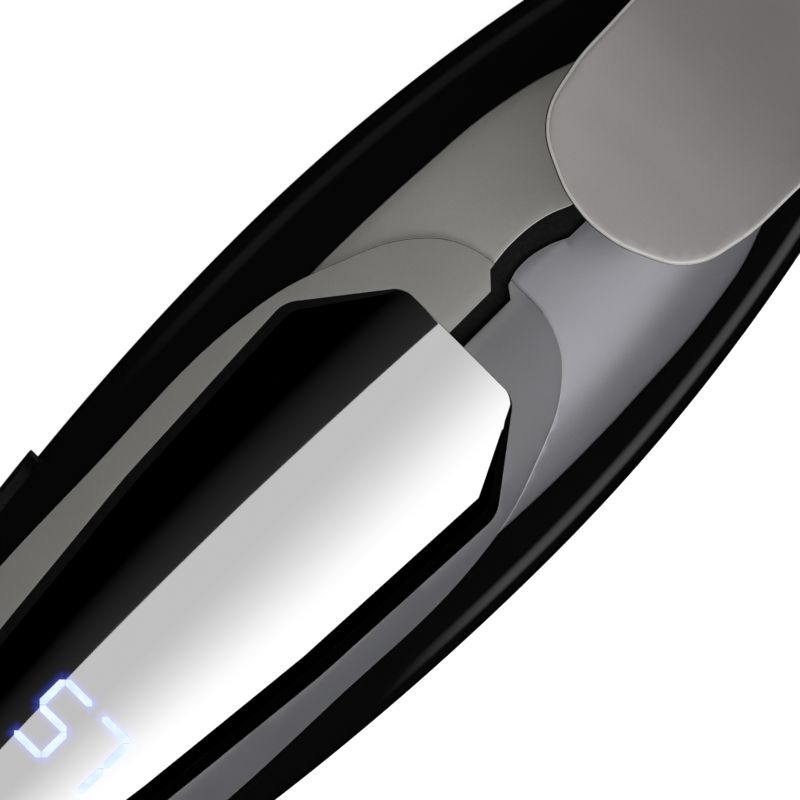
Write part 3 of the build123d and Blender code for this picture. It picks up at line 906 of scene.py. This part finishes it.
def makeMoulded(name, baseHex, lightHex, roughness, grit):
    # nylon or elastomer from a spark-eroded tool: fine even grit
    material, tree, shader, place = surface(name, baseHex, 0.0, roughness, 1.5)
    texture = grain(tree, place, grit, 4.0)
    colourGrain(tree, shader, (texture, "Fac"), baseHex, lightHex)
    roughGrain(tree, shader, (texture, "Fac"), roughness - 0.06, roughness + 0.08)
    bump(tree, shader, (texture, "Fac"), 0.02)
    return material


def makeMetal(name, baseHex, lightHex, roughness, along):
    # drawn or ground metal: fine lines along one axis
    material, tree, shader, place = surface(name, baseHex, 1.0, roughness)
    stretch = addNode(tree, "ShaderNodeMapping", None, {"Vector": place, "Scale": along})
    lines = addNode(tree, "ShaderNodeTexNoise", None, {
        "Vector": (stretch, "Vector"), "Scale": 5000.0, "Detail": 2.0})
    colourGrain(tree, shader, (lines, "Fac"), baseHex, lightHex)
    roughGrain(tree, shader, (lines, "Fac"), roughness - 0.04, roughness + 0.07)
    bump(tree, shader, (lines, "Fac"), 0.002)
    return material


paint = {
    "pianoBlack": makePianoBlack(),
    "inlayPaint": makeSatinPaint("metallic paint warm grey", "#9E9C99", "#A8A6A2", 0.36),
    # the right half is the same paint as the left; its cooler tone is painted: the cool light on the far side
    "inlayPaintCoolCast": makeSatinPaint("metallic paint grey with painted cool light", "#87878D", "#909096", 0.33, 0.35),
    # the bezel takes a cool painted shade on its far side
    "bezelPaint": makeSatinPaint("metallic paint dark grey", "#92918E", "#9B9A97", 0.38, 0.12, "#B9BBC6"),
    "padPaint": makeSatinPaint("metallic paint thumb grey", "#A6A2A1", "#AFABAA", 0.4, 0.4),
    # brighter copy of the paint, used as a painted highlight on the rims
    "rimHighlightPaint": makePaintedRimHighlight("metallic paint painted rim highlight", "#E4E2DE"),
    # near-black material: painted shade in the slot and on the upright sides of the rimmed plates
    "gapShadeBlack": makeMoulded("black painted gap shade", "#010101", "#020202", 0.9, 0.3),
    "mirrorAcrylic": makeMirrorAcrylic(),
    "litSegments": makeLitSegments(),
    "nylon": makeMoulded("glass-filled nylon", "#101011", "#19191A", 0.5, 0.35),
    "elastomer": makeMoulded("thermoplastic elastomer", "#0C0C0C", "#151515", 0.62, 0.5),
    "keyAbs": makeMoulded("ABS satin black", "#0B0B0C", "#101012", 0.32, 0.4),
    "ceramicCoat": makeMoulded("ceramic coat graphite", "#3A3A3D", "#47474A", 0.3, 0.25),
    "platedSteel": makeMetal("zinc-plated steel", "#A5A6A2", "#B9BAB5", 0.3, (0.1, 1, 1)),
    "chrome": makeMetal("chromed steel wire", "#C9CACC", "#D6D7D8", 0.1, (1, 1, 1)),
    "aluminium": makeMetal("extruded aluminium", "#B4B6B8", "#C6C8CA", 0.32, (0.05, 1, 1)),
    "brass": makeMetal("turned brass", "#B8964E", "#CBAA60", 0.28, (1, 1, 0.1)),
    "alumina": makeMoulded("sintered alumina", "#D9D5CB", "#E6E2D8", 0.55, 0.3),
    "mica": makeMoulded("pressed mica", "#8F7F62", "#A89877", 0.5, 1.2),
    "boardGreen": makeMoulded("solder-masked FR4", "#123F26", "#17502F", 0.35, 0.6),
    "relayBlue": makeMoulded("PBT relay case", "#1C3557", "#233F66", 0.4, 0.4),
    "filmYellow": makeMoulded("epoxy film capacitor", "#B98A1E", "#C99A2B", 0.4, 0.5),
    "glassBraid": makeMoulded("glass-braid sleeve", "#CFCABC", "#DEDACD", 0.7, 0.4),
}

finishes = {
    "display_module": "nylon", "control_board": "boardGreen", "board_screws": "platedSteel",
    "heating_relay": "relayBlue", "filter_capacitor": "filmYellow", "line_fuse": "alumina",
    "tact_switches": "nylon", "case_screws": "platedSteel", "screw_caps": "elastomer", "heat_barrier": "mica",
    "heater_element": "alumina", "heat_spreader_upper": "aluminium", "heat_spreader_lower": "aluminium",
    "temperature_sensor": "alumina", "thermal_fuse": "platedSteel", "heater_leads": "glassBraid",
    "bracket_screws": "platedSteel", "hinge_pin": "platedSteel", "clamp_spring": "platedSteel",
    "blade_rivets": "platedSteel", "wire_stand": "chrome", "slip_rings": "brass", "brush_springs": "brass",
    "lit_segments": "litSegments", "power_key": "keyAbs", "heat_up_key": "keyAbs", "heat_down_key": "keyAbs",
    "lever_arm": "pianoBlack", "barrel_collar": "nylon", "cool_tip": "nylon", "clamp_blade": "ceramicCoat",
    "hinge_bracket": "platedSteel", "swivel_gland": "elastomer", "barrel_tube": "ceramicCoat",
    "front_shell": "pianoBlack", "rear_shell": "pianoBlack", "inlay_left": "inlayPaint",
    "inlay_right": "inlayPaintCoolCast", "display_bezel": "bezelPaint", "display_window": "mirrorAcrylic",
    "thumb_pad": "padPaint",
}


rimmed = ("inlayPaint", "inlayPaintCoolCast", "bezelPaint", "padPaint")


def dress(piece, finish):
    if piece.data.materials:
        piece.data.materials.clear()
    piece.data.materials.append(paint[finish])
    # rimmed pieces also take the painted rim highlight and, for their upright sides, the near-black painted
    # shade
    if finish in rimmed:
        piece.data.materials.append(paint["rimHighlightPaint"])
        piece.data.materials.append(paint["gapShadeBlack"])


for node, piece in frame["nodes"].items():
    dress(piece, finishes[node])

# Each new piece rides on a body, stands for a node and takes that node's finish

bodyOf = {node: body for body, nodes in frame["record"]["behaviour"]["bodies"].items() for node in nodes}


def standFor(piece, node):
    dress(piece, finishes[node])
    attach(piece, bodyOf[node])
    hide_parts(node)


newPieces = {
    "front_shell": frontShell, "rear_shell": rearShell, "inlay_left": inlayLeft, "inlay_right": inlayRight,
    "display_bezel": displayBezel, "display_window": displayWindow, "thumb_pad": thumbPad,
    "lit_segments": litDigits,
}
for node, piece in list(newPieces.items()) + list(copies.items()):
    standFor(piece, node)
# the slot's sheet takes the near-black painted shade
dress(slotShadeSheet, "gapShadeBlack")
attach(slotShadeSheet, bodyOf["front_shell"])
print("materials ready")

# Floor, light and camera


def makeFloor():
    # a white light table: it glows, so that the object stands on pure white
    deselectAll()
    bpy.ops.mesh.primitive_plane_add(size=60, location=(0, 0, -0.0002))
    floor = bpy.context.object
    floor.name = "floor"
    material, tree, shader, place = surface("studio floor", "#F4F4F4", 0.0, 0.9)
    shader.inputs["Emission Color"].default_value = (1, 1, 1, 1)
    shader.inputs["Emission Strength"].default_value = 0.85
    floor.data.materials.append(material)
    floor.visible_glossy = False


studio = {
    "boxHeight": 1.0,            # the big soft box over the side without keys
    "boxEdge": (-0.0165, 0.036),  # a point on its edge, which shows as the straight line in the window
    "boxSlant": -0.33,           # how the edge runs: metres of Y per metre of X
    "boxWidth": 1.15,
    "boxSpan": (-0.8, 0.46),
    "boxGlow": 0.3,              # a faint strip past the edge, in metres
    "boxGlowTone": 0.019,
    "boxStrength": 2.55,
    # its brightness across, as (y, tone)
    "boxTones": [(-0.04, 0.515), (-0.138, 0.65), (-0.26, 0.8), (-0.383, 0.92), (-0.55, 1.0)],
    # the world's brightness from straight down (0) to straight up (1)
    "bandTones": [(0.0, 0.0), (0.14, 0.0), (0.2, 1.0), (0.26, 1.0), (0.31, 0.0), (1.0, 0.0)],
    "fillPlace": (0.1, 0.45, 1.0),
    "fillSize": 0.8,
    "fillPower": 3.0,
    "fillTint": (1.0, 0.985, 0.96),
}


def makeSoftBox():
    deselectAll()
    bpy.ops.mesh.primitive_plane_add(size=1)
    box = bpy.context.object
    box.name = "softBox"
    edgeX, edgeY = studio["boxEdge"]
    for vertex in box.data.vertices:
        x = studio["boxSpan"][0] if vertex.co.x < 0 else studio["boxSpan"][1]
        edge = edgeY + studio["boxSlant"] * (x - edgeX)
        vertex.co = (x, edge + studio["boxGlow"] if vertex.co.y > 0 else -studio["boxWidth"], 0)
    box.location = (0, 0, studio["boxHeight"])
    material = bpy.data.materials.new("soft box")
    material.use_nodes = True
    tree = material.node_tree
    tree.nodes.clear()
    place = addNode(tree, "ShaderNodeTexCoord")
    split = addNode(tree, "ShaderNodeSeparateXYZ", None, {"Vector": (place, "Object")})
    edge = addNode(tree, "ShaderNodeMath", {"operation": "MULTIPLY_ADD"}, {
        0: (split, "X"), 1: -studio["boxSlant"], 2: studio["boxSlant"] * edgeX - edgeY})
    past = addNode(tree, "ShaderNodeMath", {"operation": "ADD"}, {0: (edge, "Value"), 1: (split, "Y")})
    glow = addNode(tree, "ShaderNodeMapRange", None, {
        "Value": (past, "Value"), "From Min": studio["boxGlow"], "From Max": 0.0,
        "To Max": studio["boxGlowTone"]})
    first, last = studio["boxTones"][0][0], studio["boxTones"][-1][0]
    down = addNode(tree, "ShaderNodeMapRange", None, {
        "Value": (split, "Y"), "From Min": first, "From Max": last})
    stops = [((y - first) / (last - first), tone) for y, tone in studio["boxTones"]]
    bright = ramp(tree, (down, "Result"), stops)
    isPast = addNode(tree, "ShaderNodeMath", {"operation": "GREATER_THAN"}, {0: (past, "Value"), 1: 0.0})
    tone = addNode(tree, "ShaderNodeMix", {"data_type": "RGBA"}, {
        "Factor": (isPast, "Value"), 6: (bright, "Color"), 7: (glow, "Result")})
    light = addNode(tree, "ShaderNodeEmission", None, {
        "Color": (tone, 2), "Strength": studio["boxStrength"]})
    addNode(tree, "ShaderNodeOutputMaterial", None, {"Surface": (light, "Emission")})
    box.data.materials.append(material)
    box.visible_camera = False


def makeFill():
    # a soft light that shows in no reflection
    data = bpy.data.lights.new("fillLeft", "AREA")
    data.size = studio["fillSize"]
    data.energy = studio["fillPower"]
    data.color = studio["fillTint"]
    light = bpy.data.objects.new("fillLeft", data)
    bpy.context.scene.collection.objects.link(light)
    light.location = studio["fillPlace"]
    light.rotation_euler = Vector(studio["fillPlace"]).to_track_quat("Z", "Y").to_euler()
    light.visible_glossy = False
    light.visible_camera = False


def makeWorld():
    # black, but for a soft band below the horizon that draws the streaks along the gloss
    world = bpy.data.worlds.new("studio")
    bpy.context.scene.world = world
    world.use_nodes = True
    tree = world.node_tree
    tree.nodes.clear()
    place = addNode(tree, "ShaderNodeTexCoord")
    split = addNode(tree, "ShaderNodeSeparateXYZ", None, {"Vector": (place, "Generated")})
    up = addNode(tree, "ShaderNodeMapRange", None, {
        "Value": (split, "Z"), "From Min": -1.0, "From Max": 1.0})
    bands = ramp(tree, (up, "Result"), studio["bandTones"])
    side = addNode(tree, "ShaderNodeMapRange", None, {
        "Value": (split, "Y"), "From Min": 0.5, "From Max": -0.5, "To Min": 0.06, "To Max": 0.5})
    ahead = addNode(tree, "ShaderNodeMapRange", None, {
        "Value": (split, "X"), "From Min": -0.09, "From Max": -0.02})
    both = addNode(tree, "ShaderNodeMath", {"operation": "MULTIPLY"},
                   {0: (side, "Result"), 1: (ahead, "Result")})
    back = addNode(tree, "ShaderNodeBackground", None, {
        "Color": (bands, "Color"), "Strength": (both, "Value")})
    addNode(tree, "ShaderNodeOutputWorld", None, {"Surface": (back, "Background")})


view = {
    "targetY": -0.6,       # mm from the axis
    "tilt": 2.4,           # degrees towards the key side
    "distance": 0.7,       # metres
    "width": 0.072,        # what the picture spans at the axis, in metres
}


def makeCamera():
    target = toFrame(0, view["targetY"], 0)
    tilt = math.radians(view["tilt"])
    towards = Vector((0, math.sin(tilt), math.cos(tilt)))
    distance = view["distance"]
    camera = bpy.data.cameras.new("camera")
    holder = bpy.data.objects.new("camera", camera)
    bpy.context.scene.collection.objects.link(holder)
    camera.sensor_width = 36
    camera.lens = camera.sensor_width * distance / view["width"]
    camera.clip_start = 0.05
    camera.clip_end = 50
    holder.location = target + towards * distance
    up = Vector((1, math.cos(tilt), -math.sin(tilt))).normalized()
    right = up.cross(towards).normalized()
    up = towards.cross(right)
    holder.rotation_euler = Matrix((right, up, towards)).transposed().to_euler()
    bpy.context.scene.camera = holder


makeFloor()
makeSoftBox()
makeFill()
makeWorld()
makeCamera()
bpy.context.scene.view_settings.view_transform = "Standard"
print("studio ready")
